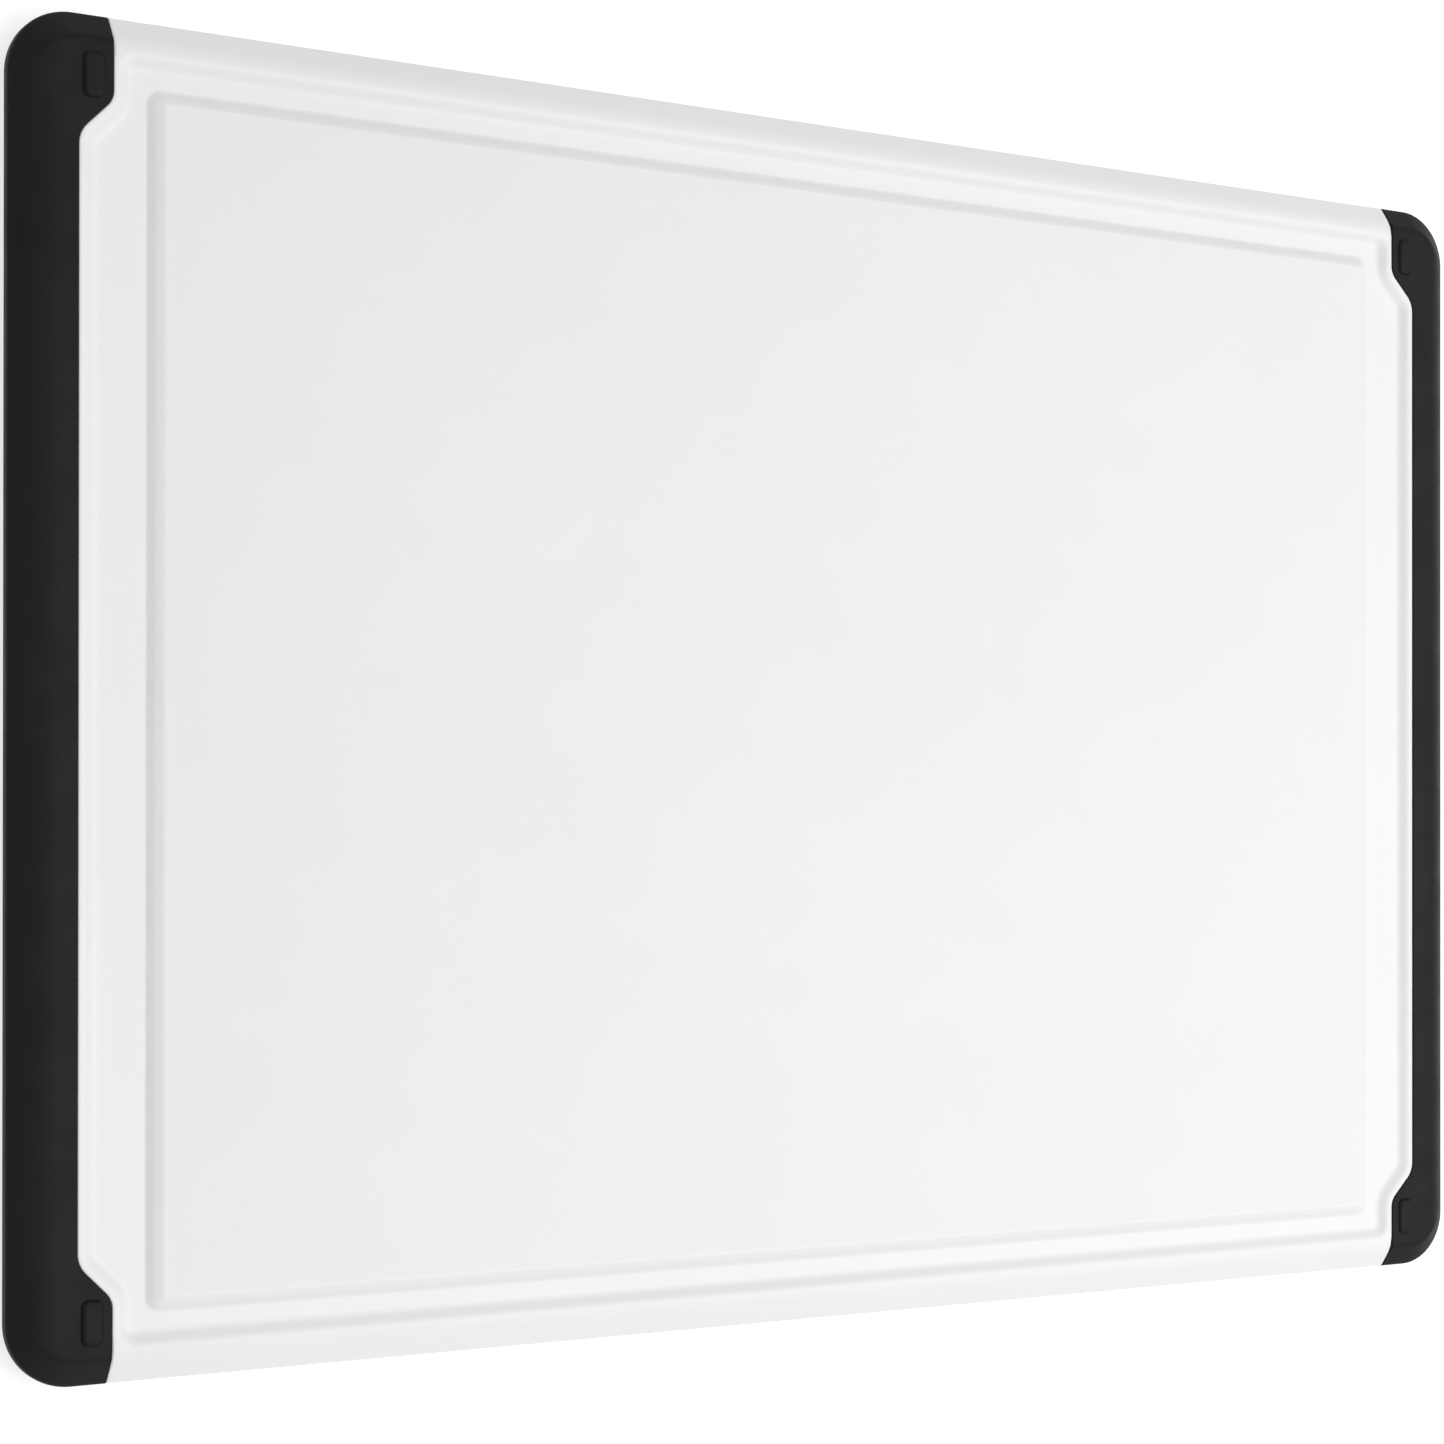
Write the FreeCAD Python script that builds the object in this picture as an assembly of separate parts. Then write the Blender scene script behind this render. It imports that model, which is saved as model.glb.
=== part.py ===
import FreeCAD, Part
import math
import os

from FreeCAD import Vector

# Cutting board: a white plastic board whose two short ends are wrapped in soft black grips.
# Each grip widens at both corners into a tab that carries a non-slip foot on each face.
# The board lies flat, grooved face up. X runs along its length and Y across it.
# The origin is under the middle of the board, at the level that its feet stand on.
# All sizes are in millimetres.

# Overall
LENGTH = 433.0                # over both grips
WIDTH = 310.0
THICKNESS = 11.2              # of the plastic board, face to face
CORNER_RADIUS = 15.0

# Tapered edge, the same bevel all round on both faces
BEVEL_WIDTH = 6.3             # from the edge in to where the bevel's plane meets the flat face
BEVEL_ANGLE = 35.0            # in degrees
BOARD_ROLL = 8.5              # radius that rolls the plastic's face over into the bevel
GRIP_ROLL = 3.5               # the same on the grips, along the board's long edges
GRIP_END_ROLL = 14.0          # the same on the grips, along the board's ends
NOSE_RADIUS = 1.3             # between the bevel and the upright edge

# Grips
BAND = 15.2                   # width of a grip along the middle of its end
TAB_REACH = 23.3              # from the end to a corner tab's inner edge
TAB_LENGTH = 19.6             # from the long edge to where the tab starts to slant back
TAB_OUTER_RADIUS = 5.0        # where the tab's inner edge turns into its slant
TAB_INNER_RADIUS = 6.5        # where the slant turns into the band
GRIP_PROUD = 0.25             # the grip's face above the board's face

# Feet, one on each face of each tab
FOOT_SIZE_X = 5.2
FOOT_SIZE_Y = 10.5
FOOT_HEIGHT = 0.9             # above the grip's face
FOOT_CORNER = 1.8
FOOT_EDGE = 0.8               # rounding of the foot's rim
FOOT_FROM_END = 18.5          # from the board's end to the foot's middle
FOOT_FROM_SIDE = 14.7         # from the long edge to the foot's middle

# Tongue that carries each grip, and the windows that lock the grip to it
TONGUE_THICKNESS = 4.4
GRIP_WALL = 3.2               # soft material outside the tongue's rim
WINDOW_WIDTH = 4.0
WINDOW_LENGTH = 14.0
WINDOW_GAP = 12.0             # plastic left between one window and the next, at least
WINDOW_EDGE = 3.0             # plastic left outside each window

# Juice groove in the upper face
RIM = 1.6                     # white rim left between a grip and the groove
RIM_CORNER = 4.0              # groove's outer corner beside each tab
GROOVE_DEPTH = 2.1
OUTER_WALL = 2.5              # width of the groove's sloping outer wall
INNER_WALL = 3.1              # width of its sloping inner wall, along the long sides
END_WALL = 3.7                # the same along the ends
FLOOR = 4.4                   # floor's width along the long sides and beside the tabs
AREA_CORNER = 3.3             # cutting area's corner radius, at the foot of its wall
AREA_TOP_CORNER = 0.8         # the same corner's radius, at the top of its wall

# Levels
BOTTOM = FOOT_HEIGHT + GRIP_PROUD
TOP = BOTTOM + THICKNESS
MIDDLE = BOTTOM + THICKNESS / 2
GRIP_HALF = THICKNESS / 2 + GRIP_PROUD
QUARTER = 90
SLOPE = math.radians(BEVEL_ANGLE)


def crown_width(roll):
    """From the edge in to where the flat face begins."""
    return BEVEL_WIDTH + roll * math.tan(SLOPE / 2)


CROWN_WIDTH = crown_width(BOARD_ROLL)


def rounded_loop(points, radii, z):
    """Flat closed wire at height z through the points, each corner rounded to its own radius."""
    count = len(points)
    edges = []
    ends = []
    for i, radius in enumerate(radii):
        corner = Vector(*points[i], z)
        back = (Vector(*points[i - 1], z) - corner).normalize()
        on = (Vector(*points[(i + 1) % count], z) - corner).normalize()
        inward = (back + on).normalize()
        half_angle = back.getAngle(on) / 2
        tangent = radius / math.tan(half_angle)
        middle = corner + inward * (radius / math.sin(half_angle) - radius)
        edges.append(Part.Arc(corner + back * tangent, middle, corner + on * tangent).toShape())
        ends.append((corner + back * tangent, corner + on * tangent))
    for i in range(count):
        edges.append(Part.makeLine(ends[i][1], ends[(i + 1) % count][0]))
    return Part.Wire(Part.sortEdges(edges)[0])


def rounded_rectangle(length, width, radius, z, x=0.0, y=0.0):
    """Rounded rectangle about x, y."""
    turns = ((1, -1), (1, 1), (-1, 1), (-1, -1))
    corners = [(x + side_x * length / 2, y + side_y * width / 2) for side_x, side_y in turns]
    return rounded_loop(corners, [radius] * len(corners), z)


def prism(wire, height):
    """Solid that stands on a flat closed wire."""
    return Part.Face(wire).extrude(Vector(0, 0, height))


def roll_profile(half, roll):
    """Start, middle and end of the arc from the flat face to the bevel, as inset and height."""
    crown = crown_width(roll)
    return [(crown - roll * math.sin(a), half - roll * (1 - math.cos(a))) for a in (0, SLOPE / 2, SLOPE)]


def edge_section(half, roll):
    """Half-lens section of the tapered edge, in the plane x = 0, on a board 2 x half thick."""
    nose_turn = (math.pi / 2 - SLOPE) / 2
    nose_tangent = NOSE_RADIUS * math.tan(nose_turn)
    sharp_z = half - BEVEL_WIDTH * math.tan(SLOPE)
    nose_z = sharp_z - nose_tangent
    profile = roll_profile(half, roll) + [
        (nose_tangent * math.cos(SLOPE), sharp_z + nose_tangent * math.sin(SLOPE)),
        (NOSE_RADIUS * (1 - math.cos(nose_turn)), nose_z + NOSE_RADIUS * math.sin(nose_turn)),
        (0, nose_z),
    ]
    above = [Vector(0, inset, MIDDLE + z) for inset, z in profile]
    below = [Vector(0, inset, MIDDLE - z) for inset, z in profile]
    edges = [
        Part.Arc(above[0], above[1], above[2]).toShape(),
        Part.makeLine(above[2], above[3]),
        Part.Arc(above[3], above[4], above[5]).toShape(),
        Part.makeLine(above[5], below[5]),
        Part.Arc(below[5], below[4], below[3]).toShape(),
        Part.makeLine(below[3], below[2]),
        Part.Arc(below[2], below[1], below[0]).toShape(),
        Part.makeLine(below[0], above[0]),
    ]
    return Part.Face(Part.Wire(edges))


def board_blank(half, roll):
    """Whole outer shape, 2 x half thick: a flat middle, four tapered edges and four turned corners."""
    section = edge_section(half, roll)
    crown = crown_width(roll)
    middle = rounded_rectangle(LENGTH - 2 * crown, WIDTH - 2 * crown, CORNER_RADIUS - crown, MIDDLE - half)
    pieces = [prism(middle, 2 * half)]
    sides = [(0, LENGTH, WIDTH), (1, WIDTH, LENGTH), (2, LENGTH, WIDTH), (3, WIDTH, LENGTH)]
    for turns, along, across in sides:
        straight = along / 2 - CORNER_RADIUS
        side = section.translated(Vector(-straight, -across / 2, 0)).extrude(Vector(2 * straight, 0, 0))
        corner = section.translated(Vector(straight, -across / 2, 0))
        centre = Vector(straight, -across / 2 + CORNER_RADIUS, 0)
        corner = corner.revolve(centre, Vector(0, 0, 1), QUARTER)
        for piece in (side, corner):
            pieces.append(piece.rotated(Vector(0, 0, 0), Vector(0, 0, 1), turns * QUARTER))
    return pieces[0].fuse(pieces[1:]).removeSplitter()


def grip_outline(z):
    """Plan of everything that the right-hand grip covers, carried past the board's outside."""
    outside = LENGTH / 2 + BAND
    beyond = WIDTH / 2 + BAND
    band_x = LENGTH / 2 - BAND
    tab_x = LENGTH / 2 - TAB_REACH
    slant_top = WIDTH / 2 - TAB_LENGTH
    slant_foot = slant_top - (TAB_REACH - BAND)
    points = [
        (outside, -beyond), (outside, beyond), (tab_x, beyond), (tab_x, slant_top), (band_x, slant_foot),
        (band_x, -slant_foot), (tab_x, -slant_top), (tab_x, -beyond),
    ]
    blunt = BAND / 4
    radii = [
        blunt, blunt, blunt, TAB_OUTER_RADIUS, TAB_INNER_RADIUS,
        TAB_INNER_RADIUS, TAB_OUTER_RADIUS, blunt,
    ]
    return rounded_loop(points, radii, z)


def grip_zone():
    """Block over that plan, taller than the board."""
    return prism(grip_outline(0), TOP + BOTTOM)


def groove_outline(inset, z):
    """Outer edge of the juice groove, taken in from the rim by inset. It steps round the four tabs."""
    end_x = LENGTH / 2 - BAND - RIM - inset
    tab_x = LENGTH / 2 - TAB_REACH - RIM - inset
    side_y = WIDTH / 2 - CROWN_WIDTH - inset
    slant = (LENGTH + WIDTH) / 2 - TAB_REACH - TAB_LENGTH - (RIM + inset) * math.sqrt(2)
    corner = [
        (tab_x, side_y, RIM_CORNER - inset),
        (tab_x, slant - tab_x, TAB_OUTER_RADIUS + RIM + inset),
        (end_x, slant - end_x, TAB_INNER_RADIUS - RIM - inset),
    ]
    points = []
    radii = []
    for side_x, side_y_sign in ((1, -1), (1, 1), (-1, 1), (-1, -1)):
        ordered = corner if side_x * side_y_sign < 0 else corner[::-1]
        for x, y, radius in ordered:
            points.append((side_x * x, side_y_sign * y))
            radii.append(radius)
    return rounded_loop(points, radii, z)


def cutting_area(end_inset, side_inset, radius, z):
    """Rectangle that the groove runs round, taken in from the foot of its wall by those insets."""
    from_end = TAB_REACH + RIM + OUTER_WALL + FLOOR + end_inset
    from_side = CROWN_WIDTH + OUTER_WALL + FLOOR + side_inset
    return rounded_rectangle(LENGTH - 2 * from_end, WIDTH - 2 * from_side, radius, z)


def groove_cutter():
    """The material that the juice groove takes away."""
    floor = TOP - GROOVE_DEPTH
    pocket = Part.makeLoft([groove_outline(OUTER_WALL, floor), groove_outline(0, TOP)], True, True)
    foot = cutting_area(0, 0, AREA_CORNER, floor)
    top = cutting_area(END_WALL, INNER_WALL, AREA_TOP_CORNER, TOP)
    return pocket.cut(Part.makeLoft([foot, top], True, True))


def tongue():
    """Thin tongue that runs on from the board into the right-hand grip, with a row of windows."""
    low = MIDDLE - TONGUE_THICKNESS / 2
    plate = rounded_rectangle(LENGTH - 2 * GRIP_WALL, WIDTH - 2 * GRIP_WALL, CORNER_RADIUS - GRIP_WALL, low)
    solid = prism(plate, TONGUE_THICKNESS).common(prism(grip_outline(low), TONGUE_THICKNESS))
    window_x = LENGTH / 2 - GRIP_WALL - WINDOW_EDGE - WINDOW_WIDTH / 2
    room = WIDTH - 2 * (GRIP_WALL + CORNER_RADIUS)
    count = int((room + WINDOW_GAP) // (WINDOW_LENGTH + WINDOW_GAP))
    pitch = (room - WINDOW_LENGTH) / (count - 1)
    for i in range(count):
        y = (i - (count - 1) / 2) * pitch
        window = rounded_rectangle(WINDOW_WIDTH, WINDOW_LENGTH, WINDOW_WIDTH / 2.2, low, window_x, y)
        solid = solid.cut(prism(window, TONGUE_THICKNESS))
    return solid


def mirrored(shape):
    """The same shape at the left-hand end."""
    return shape.mirror(Vector(0, 0, 0), Vector(1, 0, 0))


def board_core():
    """White board with its juice groove and a tongue at each end."""
    zone = grip_zone()
    right_tongue = tongue()
    core = board_blank(THICKNESS / 2, BOARD_ROLL).cut([zone, mirrored(zone)])
    core = core.fuse([right_tongue, mirrored(right_tongue)])
    return core.cut(groove_cutter()).removeSplitter()


def foot_pair(side):
    """Foot on the upper face and foot on the lower face of one tab, joined by a post inside the tab."""
    x = LENGTH / 2 - FOOT_FROM_END
    y = side * (WIDTH / 2 - FOOT_FROM_SIDE)
    height = 2 * (GRIP_HALF + FOOT_HEIGHT)
    post = prism(rounded_rectangle(FOOT_SIZE_X, FOOT_SIZE_Y, FOOT_CORNER, MIDDLE - height / 2, x, y), height)
    rims = [edge for edge in post.Edges if edge.BoundBox.ZLength < FOOT_EDGE]
    return post.makeFillet(FOOT_EDGE, rims)


def end_roll_cutter():
    """Takes the grip's upper face down to its gentler roll along the board's right-hand end."""
    profile = roll_profile(GRIP_HALF, GRIP_END_ROLL)
    start, middle, end = [Vector(LENGTH / 2 - inset, 0, MIDDLE + z) for inset, z in profile]
    above = Vector(0, 0, THICKNESS)
    edges = [
        Part.Arc(start, middle, end).toShape(),
        Part.makeLine(end, end + above),
        Part.makeLine(end + above, start + above),
        Part.makeLine(start + above, start),
    ]
    section = Part.Face(Part.Wire(edges)).translated(Vector(0, -WIDTH, 0))
    return section.extrude(Vector(0, 2 * WIDTH, 0))


def right_grip(core):
    """Soft grip moulded over the right-hand tongue, with a foot on both faces of each tab."""
    roll = end_roll_cutter()
    under_roll = roll.mirror(Vector(0, 0, MIDDLE), Vector(0, 0, 1))
    shell = board_blank(GRIP_HALF, GRIP_ROLL).common(grip_zone()).cut([roll, under_roll])
    return shell.fuse([foot_pair(1), foot_pair(-1)]).cut(core).removeSplitter()


def export(name, shape):
    """Write one node."""
    solid = shape.Solids[0] if len(shape.Solids) == 1 else shape
    print(name, "solids", len(shape.Solids), "valid", solid.isValid(), "volume", round(solid.Volume))
    solid.exportStep(os.path.join("parts", name + ".step"))


os.makedirs("parts", exist_ok=True)
core = board_core()
grip = right_grip(core)
export("board_core", core)
export("right_grip", grip)
export("left_grip", mirrored(grip))
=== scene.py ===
import math

import bmesh
import bpy
from mathutils import Matrix, Vector, geometry


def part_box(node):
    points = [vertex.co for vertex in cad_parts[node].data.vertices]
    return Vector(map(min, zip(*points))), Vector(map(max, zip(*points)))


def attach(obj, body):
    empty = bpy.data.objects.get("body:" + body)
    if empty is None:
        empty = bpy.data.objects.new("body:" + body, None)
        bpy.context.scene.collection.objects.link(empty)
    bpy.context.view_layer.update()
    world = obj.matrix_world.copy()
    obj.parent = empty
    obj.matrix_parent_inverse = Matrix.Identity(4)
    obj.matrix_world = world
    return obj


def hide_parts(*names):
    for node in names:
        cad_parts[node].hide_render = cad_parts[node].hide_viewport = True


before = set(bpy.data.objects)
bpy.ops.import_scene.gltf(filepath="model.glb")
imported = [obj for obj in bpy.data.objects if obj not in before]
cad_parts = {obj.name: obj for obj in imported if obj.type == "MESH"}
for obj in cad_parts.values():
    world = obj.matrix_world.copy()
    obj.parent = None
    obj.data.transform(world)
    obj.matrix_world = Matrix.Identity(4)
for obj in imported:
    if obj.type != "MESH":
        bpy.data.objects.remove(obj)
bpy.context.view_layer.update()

MM = 0.001

# ---------------------------------------------------------------------------
# Sizes. Where pieces lie comes from the frame, the rest is the board's own detail.
# ---------------------------------------------------------------------------

GRIP_LOW, GRIP_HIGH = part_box("right_grip")
CORE_LOW, CORE_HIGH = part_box("board_core")
HALF_LENGTH = GRIP_HIGH.x
HALF_WIDTH = GRIP_HIGH.y
MIDDLE = (CORE_HIGH.z + CORE_LOW.z) / 2
HALF_THICK = (CORE_HIGH.z - CORE_LOW.z) / 2
GRIP_PROUD = 0.25 * MM
GRIP_HALF = HALF_THICK + GRIP_PROUD
FOOT_HEIGHT = GRIP_HIGH.z - CORE_HIGH.z - GRIP_PROUD

CORNER_RADIUS = 15 * MM
BEVEL_WIDTH = 6.3 * MM        # from the edge in to where the bevel's plane meets the flat face
BEVEL_SLOPE = math.radians(35)
BOARD_ROLL = 8.5 * MM         # radius that rolls the white face over into the bevel
GRIP_ROLL = 3.5 * MM          # the same on the grips, along the long edges
GRIP_END_ROLL = 14 * MM       # the same on the grips, along the ends
NOSE_RADIUS = 1.3 * MM
CROWN_WIDTH = BEVEL_WIDTH + BOARD_ROLL * math.tan(BEVEL_SLOPE / 2)

BAND = 15.2 * MM
TAB_REACH = HALF_LENGTH - GRIP_LOW.x
TAB_LENGTH = 19.6 * MM
TAB_OUTER_RADIUS = 5 * MM
TAB_INNER_RADIUS = 6.5 * MM
SHARP = 0.06 * MM             # radius of a corner that looks sharp
SEAM_RADIUS = 0.3 * MM        # rounding of both materials where they meet
SEAM_GAP = 0.02 * MM
RIM_SOFTENING = 1 * MM        # width of the white beside the seam that falls away towards it
RIM_DROP = 0.12 * MM

RIM = 1.6 * MM
RIM_CORNER = 4 * MM
GROOVE_DEPTH = 2.1 * MM
OUTER_WALL = 2.5 * MM
INNER_WALL = 3.1 * MM         # along the long edges
END_WALL = 3.7 * MM           # the same at the ends
END_WALL_BEND = 1.2           # above 1, the wall at the ends is steeper at its foot than the sides' is
OUTER_WALL_RADIUS = 3 * MM    # rounding of the outer wall, both where it starts and at its foot
OUTER_FOOT_LEAD = 1.2 * MM    # how far past its foot the outer wall has rounded out
INNER_FOOT_RADIUS = 1.5 * MM
INNER_FOOT_LEAD = 0.6 * MM
KNEE_RUN = 1.6 * MM           # where the inner wall turns less steep
KNEE_DEPTH = 0.4              # as a share of the groove's depth
KNEE_RADIUS = 5 * MM
INNER_TOP_RADIUS = 2 * MM
INNER_TOP_LEAD = 0.7 * MM
FLOOR = 4.4 * MM
AREA_CORNER = 3.3 * MM
AREA_TOP_CORNER = 0.8 * MM
WALL_LEAD = 1.2 * MM          # how far outside the groove its outer wall starts to roll over

FOOT_SIZE = (5.2 * MM, 10.5 * MM)
FOOT_FROM_END = 18.5 * MM
FOOT_FROM_SIDE = 14.7 * MM
FOOT_CORNER = 1.8 * MM
FOOT_LEAD = 0.3 * MM          # how far outside the foot its wall starts to round out
FOOT_BASE_RADIUS = 0.25 * MM
FOOT_WALL = 0.45 * MM         # how far the foot's wall leans in
FOOT_RIM_RADIUS = 1.2 * MM
FOOT_FLAT_FROM = 1.6 * MM


# ---------------------------------------------------------------------------
# Outlines and profiles
# ---------------------------------------------------------------------------

def eased(count):
    """Fractions between 0 and 1, closer together near both ends."""
    return [(1 - math.cos(math.pi * i / count)) / 2 for i in range(1, count)]


def corner_arc(before, corner, after, radius, steps):
    """Points on the arc that rounds a corner."""
    back = (before - corner).normalized()
    on = (after - corner).normalized()
    half_angle = back.angle(on) / 2
    centre = corner + (back + on).normalized() * (radius / math.sin(half_angle))
    start = corner + back * (radius / math.tan(half_angle)) - centre
    end = corner + on * (radius / math.tan(half_angle)) - centre
    turn = -start.angle_signed(end)
    return [centre + Matrix.Rotation(turn * k / steps, 2) @ start for k in range(steps + 1)]


def closed_outline(corners, arc_steps, sides):
    """Points round an outline of (x, y, radius) corners, and the side or corner that each belongs to."""
    spots = [Vector(c[:2]) for c in corners]
    count = len(corners)
    arcs = []
    for i in range(count):
        arcs.append(corner_arc(spots[i - 1], spots[i], spots[(i + 1) % count], corners[i][2], arc_steps[i]))
    points = []
    for i in range(count):
        points += [(p, i, "corner") for p in arcs[i]]
        points += [(arcs[i][-1].lerp(arcs[(i + 1) % count][0], t), i, "side") for t in sides[i]]
    return points


def bent_profile(corners, steps=6):
    """Open profile through (run, height, radius) corners. The first and last are its ends."""
    spots = [Vector(c[:2]) for c in corners]
    points = [spots[0]]
    for i in range(1, len(corners) - 1):
        points += corner_arc(spots[i - 1], spots[i], spots[i + 1], corners[i][2], steps)
    return points + [spots[-1]]


def edge_height(inset, half, roll):
    """Height of a face above the middle plane, at a distance in from the board's outer edge."""
    crown = BEVEL_WIDTH + roll * math.tan(BEVEL_SLOPE / 2)
    if inset >= crown:
        return half
    if inset >= crown - roll * math.sin(BEVEL_SLOPE):
        return half - roll + math.sqrt(roll ** 2 - (crown - inset) ** 2)
    sharp = half - BEVEL_WIDTH * math.tan(BEVEL_SLOPE)
    tangent = NOSE_RADIUS * math.tan((math.pi / 2 - BEVEL_SLOPE) / 2)
    if inset >= tangent * math.cos(BEVEL_SLOPE):
        return sharp + inset * math.tan(BEVEL_SLOPE)
    return sharp - tangent + math.sqrt(NOSE_RADIUS ** 2 - (NOSE_RADIUS - max(inset, 0)) ** 2)


def grip_height(x, y):
    """Height of a grip's face above the middle plane."""
    from_end = HALF_LENGTH - abs(x)
    from_side = HALF_WIDTH - abs(y)
    inset = min(from_end, from_side)
    if max(from_end, from_side) < CORNER_RADIUS:
        inset = CORNER_RADIUS - math.hypot(CORNER_RADIUS - from_end, CORNER_RADIUS - from_side)
    along_side = edge_height(inset, GRIP_HALF, GRIP_ROLL)
    return min(along_side, edge_height(from_end, GRIP_HALF, GRIP_END_ROLL))


def seam_drop(distance):
    """How far a face has rounded down, at a distance from the seam between the two materials."""
    if distance >= SEAM_RADIUS:
        return 0
    return SEAM_RADIUS - math.sqrt(SEAM_RADIUS ** 2 - (SEAM_RADIUS - max(distance, 0)) ** 2)


def rim_drop(distance):
    """The same for the white face, which also falls away gently over a wider strip."""
    return seam_drop(distance) + RIM_DROP * max(0, 1 - distance / RIM_SOFTENING) ** 2


def spaced(start, end, steps):
    return [start + (end - start) * i / steps for i in range(1, steps + 1)]


# Insets of the rings that follow the tapered edge, close together round the nose and the roll
NOSE_TURN = math.pi / 2 - BEVEL_SLOPE
NOSE_INSETS = [NOSE_RADIUS * (1 - math.cos(NOSE_TURN * i / 6)) for i in range(7)]
BEVEL_END = CROWN_WIDTH - BOARD_ROLL * math.sin(BEVEL_SLOPE)
BOARD_INSETS = NOSE_INSETS + spaced(NOSE_INSETS[-1], BEVEL_END, 4)
BOARD_INSETS += spaced(BEVEL_END, CROWN_WIDTH - WALL_LEAD, 10)
GRIP_ROLL_FROM = 5 * MM       # where the roll on the grips starts along the long edges
GRIP_ROLL_TO = 7.8 * MM       # and where it has ended
GRIP_END_ROLL_TO = 11.3 * MM  # the same along the ends
GRIP_SIDE_INSETS = NOSE_INSETS + spaced(NOSE_INSETS[-1], GRIP_ROLL_FROM, 4)
GRIP_SIDE_INSETS += spaced(GRIP_ROLL_FROM, GRIP_ROLL_TO, 10)
GRIP_END_INSETS = NOSE_INSETS + spaced(NOSE_INSETS[-1], GRIP_END_ROLL_TO, 14)


# ---------------------------------------------------------------------------
# Meshes
# ---------------------------------------------------------------------------

class Skin:
    """A mesh made of rings of points, bridged to each other and filled."""

    def __init__(self):
        self.points = []
        self.faces = []
        self.materials = []

    def ring(self, points):
        first = len(self.points)
        self.points += [tuple(p) for p in points]
        return list(range(first, first + len(points)))

    def add(self, face, material=0):
        self.faces.append(face)
        self.materials.append(material)

    def bridge(self, a, b, material=0):
        count = len(a)
        for i in range(count):
            j = (i + 1) % count
            self.add((a[i], a[j], b[j], b[i]), material)

    def cap(self, outer, holes=(), material=0):
        """Fills a flat ring, round any holes in it."""
        if not holes:
            self.add(tuple(outer), material)
            return
        loops = [outer, *holes]
        order = [i for loop in loops for i in loop]
        for tri in geometry.tessellate_polygon([[Vector(self.points[i]) for i in loop] for loop in loops]):
            self.add(tuple(order[k] for k in tri), material)

    def build(self, name, materials):
        mesh = bpy.data.meshes.new(name)
        mesh.from_pydata(self.points, [], self.faces)
        for material in materials:
            mesh.materials.append(material)
        mesh.polygons.foreach_set("material_index", self.materials)
        work = bmesh.new()
        work.from_mesh(mesh)
        bmesh.ops.remove_doubles(work, verts=work.verts, dist=0.002 * MM)
        bmesh.ops.recalc_face_normals(work, faces=work.faces)
        work.to_mesh(mesh)
        work.free()
        mesh.polygons.foreach_set("use_smooth", [True] * len(mesh.polygons))
        piece = bpy.data.objects.new(name, mesh)
        bpy.context.scene.collection.objects.link(piece)
        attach(piece, "root")
        return piece


def mirror_z(points):
    return [Vector((p.x, p.y, 2 * MIDDLE - p.z)) for p in points]


# ---------------------------------------------------------------------------
# White board
# ---------------------------------------------------------------------------

CORNER_STEPS = 8
TAB_SIDE = eased(10)
SLANT_SIDE = eased(5)
END_SIDE = eased(40)
LONG_SIDE = eased(60)
STEP_ARCS = [CORNER_STEPS] * 12
STEP_SIDES = [TAB_SIDE, SLANT_SIDE, END_SIDE, SLANT_SIDE, TAB_SIDE, LONG_SIDE] * 2
RIGHT_THEN_LEFT = ((1, -1), (1, 1), (-1, 1), (-1, -1))


def seam_outline(offset, side_inset, corner_radius):
    """The white side of the seam, offset from it by that much, and from the long edges by side_inset."""
    end_x = HALF_LENGTH - BAND - offset
    tab_x = HALF_LENGTH - TAB_REACH - offset
    side_y = HALF_WIDTH - side_inset
    slant = HALF_LENGTH + HALF_WIDTH - TAB_REACH - TAB_LENGTH - offset * math.sqrt(2)
    quarter = [
        (tab_x, side_y, corner_radius),
        (tab_x, slant - tab_x, TAB_OUTER_RADIUS + offset),
        (end_x, slant - end_x, TAB_INNER_RADIUS - offset),
    ]
    corners = []
    for side_x, side_y_sign in RIGHT_THEN_LEFT:
        run = quarter if side_x * side_y_sign < 0 else quarter[::-1]
        corners += [(side_x * x, side_y_sign * y, radius) for x, y, radius in run]
    return closed_outline(corners, STEP_ARCS, STEP_SIDES)


RIM_CORNERS = (0, 5, 6, 11)   # the outline's corners beside the long edges
LONG_SIDES = (5, 11)


def board_ring(offset, side_inset, corner_radius, drop=0.0):
    """One ring of the board's face: on the tapered edge along the long sides, near the seam at the ends."""
    points = []
    for p, i, kind in seam_outline(offset, side_inset, corner_radius):
        beside_edge = i in LONG_SIDES if kind == "side" else i in RIM_CORNERS
        from_seam = HALF_LENGTH - TAB_REACH - abs(p.x) if beside_edge else offset
        height = edge_height(HALF_WIDTH - abs(p.y), HALF_THICK, BOARD_ROLL) - rim_drop(from_seam) - drop
        points.append(Vector((p.x, p.y, MIDDLE + height)))
    return points


def area_ring(end_inset, side_inset, radius, drop, guide):
    """One ring of the raised cutting area. Its points along the ends are spread as the guide ring's are."""
    x = HALF_LENGTH - TAB_REACH - RIM - OUTER_WALL - FLOOR - end_inset
    y = HALF_WIDTH - CROWN_WIDTH - OUTER_WALL - FLOOR - side_inset
    corners = [(side_x * x, side_y * y, radius) for side_x, side_y in RIGHT_THEN_LEFT]
    per_corner = CORNER_STEPS + 1
    end_first = per_corner
    end_count = len(guide) // 2 - 2 * per_corner - len(LONG_SIDE)
    low = guide[end_first - 1].y
    high = guide[end_first + end_count].y
    spread = [(p.y - low) / (high - low) for p in guide[end_first:end_first + end_count]]
    outline = closed_outline(corners, [CORNER_STEPS] * 4, [spread, LONG_SIDE] * 2)
    return [Vector((p.x, p.y, MIDDLE + HALF_THICK - drop)) for p, i, kind in outline]


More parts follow.
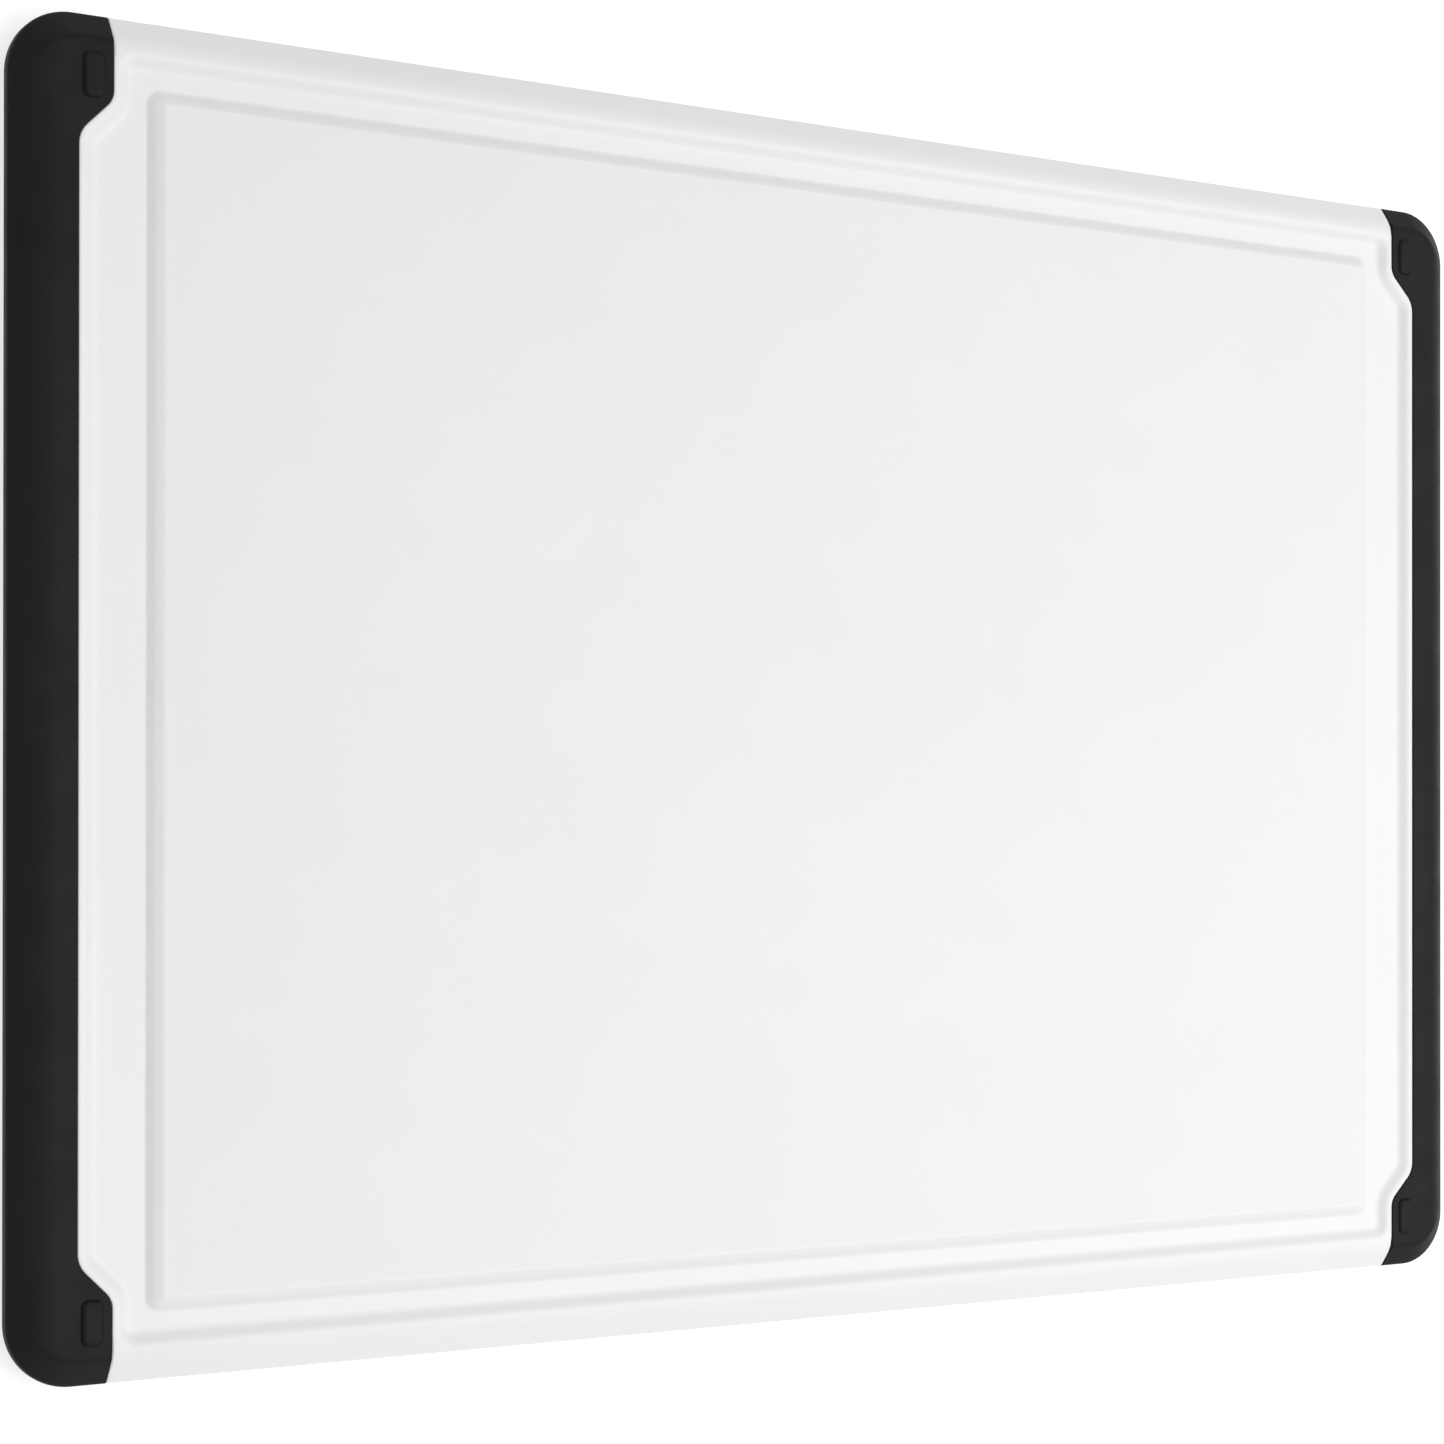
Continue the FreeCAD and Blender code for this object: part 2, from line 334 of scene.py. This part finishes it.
def crown_rings():
    """Rings from the upright edge to where the groove's wall begins. At the ends they start at the seam."""
    rings = []
    last_offset = RIM - WALL_LEAD
    for k, inset in enumerate(BOARD_INSETS):
        if k < len(NOSE_INSETS):
            offset = SEAM_RADIUS * (1 - math.cos(math.pi / 2 * k / (len(NOSE_INSETS) - 1)))
        else:
            share = (inset - NOSE_INSETS[-1]) / (BOARD_INSETS[-1] - NOSE_INSETS[-1])
            offset = SEAM_RADIUS + (last_offset - SEAM_RADIUS) * share
        corner = SHARP + (RIM_CORNER - SHARP) * inset / CROWN_WIDTH
        rings.append(board_ring(offset, inset, corner))
    return rings


def outer_wall():
    """Profile of the groove's outer wall, from the rim in, as run and drop."""
    return bent_profile([
        (-WALL_LEAD, 0, 0),
        (0, 0, OUTER_WALL_RADIUS),
        (OUTER_WALL, GROOVE_DEPTH, OUTER_WALL_RADIUS),
        (OUTER_WALL + OUTER_FOOT_LEAD, GROOVE_DEPTH, 0),
    ])


def inner_wall():
    """Profile of the groove's inner wall along the sides, from its foot up, as run and drop."""
    return bent_profile([
        (-INNER_FOOT_LEAD, GROOVE_DEPTH, 0),
        (0, GROOVE_DEPTH, INNER_FOOT_RADIUS),
        (KNEE_RUN, KNEE_DEPTH * GROOVE_DEPTH, KNEE_RADIUS),
        (INNER_WALL, 0, INNER_TOP_RADIUS),
        (INNER_WALL + INNER_TOP_LEAD, 0, 0),
    ])


def end_wall_run(run):
    """How far in the wall at the ends has run, where the wall along the sides has run that far."""
    if run <= 0:
        return run
    return END_WALL * (run / INNER_WALL) ** END_WALL_BEND


def make_board(plastic, cutting):
    skin = Skin()
    rings = crown_rings()
    for run, drop in outer_wall()[1:]:
        rings.append(board_ring(RIM + run, CROWN_WIDTH + run, RIM_CORNER - run, drop))
    guide = rings[-1]
    wall = inner_wall()
    for run, drop in wall:
        radius = AREA_CORNER + (AREA_TOP_CORNER - AREA_CORNER) * run / INNER_WALL
        rings.append(area_ring(end_wall_run(run), run, radius, drop, guide))
    indices = [skin.ring(ring) for ring in rings]
    for k in range(len(indices) - 1):
        skin.bridge(indices[k], indices[k + 1], 0)
    skin.cap(indices[-1], material=1)

    under = [skin.ring(mirror_z(ring)) for ring in crown_rings()]
    skin.bridge(indices[0], under[0])
    for k in range(len(under) - 1):
        skin.bridge(under[k], under[k + 1])
    for extra in (-0.5 * MM, 0, 0.4 * MM):
        under.append(skin.ring(mirror_z(board_ring(RIM + extra, CROWN_WIDTH + extra, RIM_CORNER))))
        skin.bridge(under[-2], under[-1])
    skin.cap(under[-1], material=1)
    board = skin.build("board", [plastic, cutting])
    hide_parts("board_core")
    return board


# ---------------------------------------------------------------------------
# Grips
# ---------------------------------------------------------------------------

GRIP_ARCS = [2, 24, 24, 2, CORNER_STEPS, CORNER_STEPS, CORNER_STEPS, CORNER_STEPS]
GRIP_SIDES = [eased(10), END_SIDE, eased(10), TAB_SIDE, SLANT_SIDE, END_SIDE, SLANT_SIDE, TAB_SIDE]
OUTER_SIDES = (0, 1, 2)
OUTER_CORNERS = (0, 1, 2, 3)


def grip_ring(side, offset, end_inset, side_inset):
    """One ring of a grip's face: inset from the board's outside, offset from the seam on the other side."""
    outer_x = HALF_LENGTH - end_inset
    outer_y = HALF_WIDTH - side_inset
    tab_x = HALF_LENGTH - TAB_REACH + offset
    band_x = HALF_LENGTH - BAND + offset
    slant = HALF_LENGTH + HALF_WIDTH - TAB_REACH - TAB_LENGTH + offset * math.sqrt(2)
    tip = SHARP + offset / 2
    corners = [
        (tab_x, -outer_y, tip),
        (outer_x, -outer_y, CORNER_RADIUS - end_inset),
        (outer_x, outer_y, CORNER_RADIUS - end_inset),
        (tab_x, outer_y, tip),
        (tab_x, slant - tab_x, TAB_OUTER_RADIUS - offset),
        (band_x, slant - band_x, TAB_INNER_RADIUS + offset),
        (band_x, band_x - slant, TAB_INNER_RADIUS + offset),
        (tab_x, tab_x - slant, TAB_OUTER_RADIUS - offset),
    ]
    points = []
    for p, i, kind in closed_outline(corners, GRIP_ARCS, GRIP_SIDES):
        outside = i in OUTER_SIDES if kind == "side" else i in OUTER_CORNERS
        from_seam = p.x - (HALF_LENGTH - TAB_REACH) if outside else offset
        height = grip_height(p.x, p.y) - seam_drop(from_seam - SEAM_GAP)
        points.append(Vector((side * p.x, p.y, MIDDLE + height)))
    return points


def foot_rings(side, side_y):
    """Rings of one foot, from the grip's face up to its own."""
    rise = bent_profile([
        (-FOOT_LEAD, 0, 0),
        (0, 0, FOOT_BASE_RADIUS),
        (FOOT_WALL, FOOT_HEIGHT, FOOT_RIM_RADIUS),
        (FOOT_FLAT_FROM, FOOT_HEIGHT, 0),
    ])
    x = side * (HALF_LENGTH - FOOT_FROM_END)
    y = side_y * (HALF_WIDTH - FOOT_FROM_SIDE)
    rings = []
    for inset, height in rise[1:]:
        half_x = FOOT_SIZE[0] / 2 - inset
        half_y = FOOT_SIZE[1] / 2 - inset
        corners = [(x + a * half_x, y + b * half_y, FOOT_CORNER - inset) for a, b in RIGHT_THEN_LEFT]
        outline = closed_outline(corners, [CORNER_STEPS] * 4, [eased(6)] * 4)
        rings.append([Vector((p.x, p.y, MIDDLE + GRIP_HALF + height)) for p, i, kind in outline])
    return rings


def grip_face(skin, side, turn):
    """One face of a grip, with its two feet. turn is list or mirror_z. Returns its outermost ring."""
    rings = []
    for k, (end_inset, side_inset) in enumerate(zip(GRIP_END_INSETS, GRIP_SIDE_INSETS)):
        if k < len(NOSE_INSETS):
            offset = SEAM_GAP + SEAM_RADIUS * (1 - math.cos(math.pi / 2 * k / (len(NOSE_INSETS) - 1)))
        else:
            offset = SEAM_GAP + SEAM_RADIUS + 0.03 * MM * (k - len(NOSE_INSETS) + 1)
        rings.append(skin.ring(turn(grip_ring(side, offset, end_inset, side_inset))))
    for a, b in zip(rings, rings[1:]):
        skin.bridge(a, b)
    holes = []
    for side_y in (-1, 1):
        feet = [skin.ring(turn(ring)) for ring in foot_rings(side, side_y)]
        for a, b in zip(feet, feet[1:]):
            skin.bridge(a, b)
        skin.cap(feet[-1])
        holes.append(feet[0])
    skin.cap(rings[-1], holes)
    return rings[0]


def make_grip(name, side, rubber):
    skin = Skin()
    above = grip_face(skin, side, list)
    below = grip_face(skin, side, mirror_z)
    skin.bridge(above, below)
    grip = skin.build(name + "_cover", [rubber])
    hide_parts(name)
    return grip


# ---------------------------------------------------------------------------
# Materials
# ---------------------------------------------------------------------------

def shader(name):
    material = bpy.data.materials.new(name)
    material.use_nodes = True
    nodes = material.node_tree.nodes
    return material, nodes, material.node_tree.links, nodes["Principled BSDF"]


def noise(nodes, links, scale, detail=3.0, rough=0.5):
    where = nodes.new("ShaderNodeTexCoord")
    texture = nodes.new("ShaderNodeTexNoise")
    texture.inputs["Scale"].default_value = scale
    texture.inputs["Detail"].default_value = detail
    texture.inputs["Roughness"].default_value = rough
    links.new(where.outputs["Object"], texture.inputs["Vector"])
    return texture.outputs["Fac"]


def ranged(nodes, links, value, low, high, from_low=0.3, from_high=0.7):
    node = nodes.new("ShaderNodeMapRange")
    node.inputs["From Min"].default_value = from_low
    node.inputs["From Max"].default_value = from_high
    node.inputs["To Min"].default_value = low
    node.inputs["To Max"].default_value = high
    links.new(value, node.inputs["Value"])
    return node.outputs["Result"]


def bump(nodes, links, height, distance, strength=1.0, under=None):
    node = nodes.new("ShaderNodeBump")
    node.inputs["Distance"].default_value = distance
    node.inputs["Strength"].default_value = strength
    links.new(height, node.inputs["Height"])
    if under:
        links.new(under, node.inputs["Normal"])
    return node.outputs["Normal"]


def tinted(nodes, links, value, dark, light):
    node = nodes.new("ShaderNodeMix")
    node.data_type = "RGBA"
    node.inputs["A"].default_value = (*dark, 1)
    node.inputs["B"].default_value = (*light, 1)
    links.new(value, node.inputs["Factor"])
    return node.outputs["Result"]


def grey(value):
    return (value, value, value)


# Scales of the noise in the white plastic, in features per metre
WHITE_CLOUD = 9.0
WHITE_ROUGH = 60.0
WHITE_GRAIN = 2600.0
WHITE_WAVES = 14.0            # slow unevenness of a moulded face
WAVE_HEIGHT = 0.02 * MM
WHITE_TINT = 0.006            # how far the shade strays either way


def white_plastic(name, shade, rough_low, rough_high, grain):
    material, nodes, links, surface = shader(name)
    cloud = ranged(nodes, links, noise(nodes, links, WHITE_CLOUD), 0.0, 1.0)
    colour = tinted(nodes, links, cloud, grey(shade - WHITE_TINT), grey(shade + WHITE_TINT))
    links.new(colour, surface.inputs["Base Color"])
    rough = ranged(nodes, links, noise(nodes, links, WHITE_ROUGH), rough_low, rough_high)
    links.new(rough, surface.inputs["Roughness"])
    texture = noise(nodes, links, WHITE_GRAIN, 2.0)
    waves = noise(nodes, links, WHITE_WAVES, 1.0)
    soft = bump(nodes, links, waves, WAVE_HEIGHT)
    links.new(bump(nodes, links, texture, grain, under=soft), surface.inputs["Normal"])
    surface.inputs["IOR"].default_value = 1.49
    surface.inputs["Specular IOR Level"].default_value = 0.4
    return material


# The same for the rubber, with its darkest and lightest shade and its roughness
RUBBER_CLOUD = 35.0
RUBBER_ROUGH = 90.0
RUBBER_GRAIN = 3200.0
RUBBER_SHADES = (0.006, 0.0078)
RUBBER_ROUGHNESS = (0.52, 0.62)
RUBBER_GRAIN_HEIGHT = 0.012 * MM


def black_rubber():
    material, nodes, links, surface = shader("soft_black_rubber")
    cloud = ranged(nodes, links, noise(nodes, links, RUBBER_CLOUD, 4.0), 0.0, 1.0)
    dark, light = RUBBER_SHADES
    links.new(tinted(nodes, links, cloud, grey(dark), grey(light)), surface.inputs["Base Color"])
    rough = ranged(nodes, links, noise(nodes, links, RUBBER_ROUGH), *RUBBER_ROUGHNESS)
    links.new(rough, surface.inputs["Roughness"])
    grain = noise(nodes, links, RUBBER_GRAIN, 2.0)
    links.new(bump(nodes, links, grain, RUBBER_GRAIN_HEIGHT), surface.inputs["Normal"])
    surface.inputs["Specular IOR Level"].default_value = 0.18
    return material


# ---------------------------------------------------------------------------
# Floor, light and camera
# ---------------------------------------------------------------------------

FLOOR_SIZE = 12
FLOOR_SHADE = 0.5
FLOOR_GLOW = 0.65             # keeps the floor near white


def make_floor():
    bpy.ops.mesh.primitive_plane_add(size=FLOOR_SIZE, location=(0, 0, 0))
    floor = bpy.context.active_object
    floor.name = "floor"
    material, nodes, links, surface = shader("pale_floor")
    surface.inputs["Base Color"].default_value = (*grey(FLOOR_SHADE), 1)
    surface.inputs["Roughness"].default_value = 0.9
    surface.inputs["Specular IOR Level"].default_value = 0.1
    surface.inputs["Emission Color"].default_value = (1, 1, 1, 1)
    surface.inputs["Emission Strength"].default_value = FLOOR_GLOW
    floor.data.materials.append(material)


# Place in metres, size in metres and power in watts
KEY_LIGHT = ((0.78, -0.08, 1.2), (1.3, 1.1), 8.2)       # large and soft, high on the right
LOW_FILL = ((0, -1.2, 0.12), (1.6, 0.25), 1.1)          # low strip in front of the long edge at -Y
NEAR_FILL = ((0.15, -0.25, 0.65), (0.9, 0.4), 0.9)      # over the middle of that edge
HORIZON_STRENGTH = 0.25
ZENITH_STRENGTH = 0.88


def area_light(name, place, size, power):
    data = bpy.data.lights.new(name, "AREA")
    data.shape = "RECTANGLE"
    data.size, data.size_y = size
    data.energy = power
    lamp = bpy.data.objects.new(name, data)
    bpy.context.scene.collection.objects.link(lamp)
    lamp.location = place
    lamp.rotation_euler = (Vector((0, 0, 0)) - Vector(place)).to_track_quat("-Z", "Y").to_euler()


def make_light():
    area_light("key_light", *KEY_LIGHT)
    area_light("low_fill", *LOW_FILL)
    area_light("near_fill", *NEAR_FILL)
    world = bpy.data.worlds.new("studio")
    world.use_nodes = True
    nodes = world.node_tree.nodes
    links = world.node_tree.links
    where = nodes.new("ShaderNodeTexCoord")
    split = nodes.new("ShaderNodeSeparateXYZ")
    links.new(where.outputs["Generated"], split.inputs["Vector"])
    strength = ranged(nodes, links, split.outputs["Z"], HORIZON_STRENGTH, ZENITH_STRENGTH, 0.0, 1.0)
    nodes["Background"].inputs["Color"].default_value = (1, 1, 1, 1)
    links.new(strength, nodes["Background"].inputs["Strength"])
    bpy.context.scene.world = world
    bpy.context.scene.view_settings.view_transform = "Standard"


FOCAL_LENGTH = 73.65          # millimetres, on a 36 mm sensor
TURN = math.radians(30.51)    # of the camera's aim away from straight down, towards +X
PITCH = math.radians(0.2)     # of its aim towards +Y
ROLL = math.radians(-0.038)
CAMERA_FROM_END = -0.1966     # beyond the left end
CAMERA_FROM_SIDE = 0.1189     # above the long edge at -Y
CAMERA_FROM_FACE = 0.6436
HORIZON_SHIFT = 0.0881


def make_camera():
    data = bpy.data.cameras.new("camera")
    data.lens = FOCAL_LENGTH
    data.sensor_width = 36
    data.shift_y = HORIZON_SHIFT
    data.clip_start = 0.05
    camera = bpy.data.objects.new("camera", data)
    bpy.context.scene.collection.objects.link(camera)
    right = Vector((math.cos(TURN), 0, math.sin(TURN)))
    up = Vector((0, 1, 0))
    aim = Vector((math.sin(TURN), 0, -math.cos(TURN)))
    axes = Matrix((right, up, -aim)).transposed()
    axes = axes @ Matrix.Rotation(PITCH, 3, "X") @ Matrix.Rotation(-ROLL, 3, "Z")
    place = axes.to_4x4()
    place.translation = (
        CAMERA_FROM_END - HALF_LENGTH, CAMERA_FROM_SIDE - HALF_WIDTH, MIDDLE + HALF_THICK + CAMERA_FROM_FACE,
    )
    camera.matrix_world = place
    bpy.context.scene.camera = camera


smooth_white = white_plastic("smooth_white_plastic", 0.8, 0.42, 0.48, 0.002 * MM)
grained_white = white_plastic("grained_white_plastic", 0.79, 0.52, 0.6, 0.01 * MM)
rubber = black_rubber()
make_board(smooth_white, grained_white)
make_grip("left_grip", -1, rubber)
make_grip("right_grip", 1, rubber)
make_floor()
make_light()
make_camera()

bpy.context.view_layer.update()
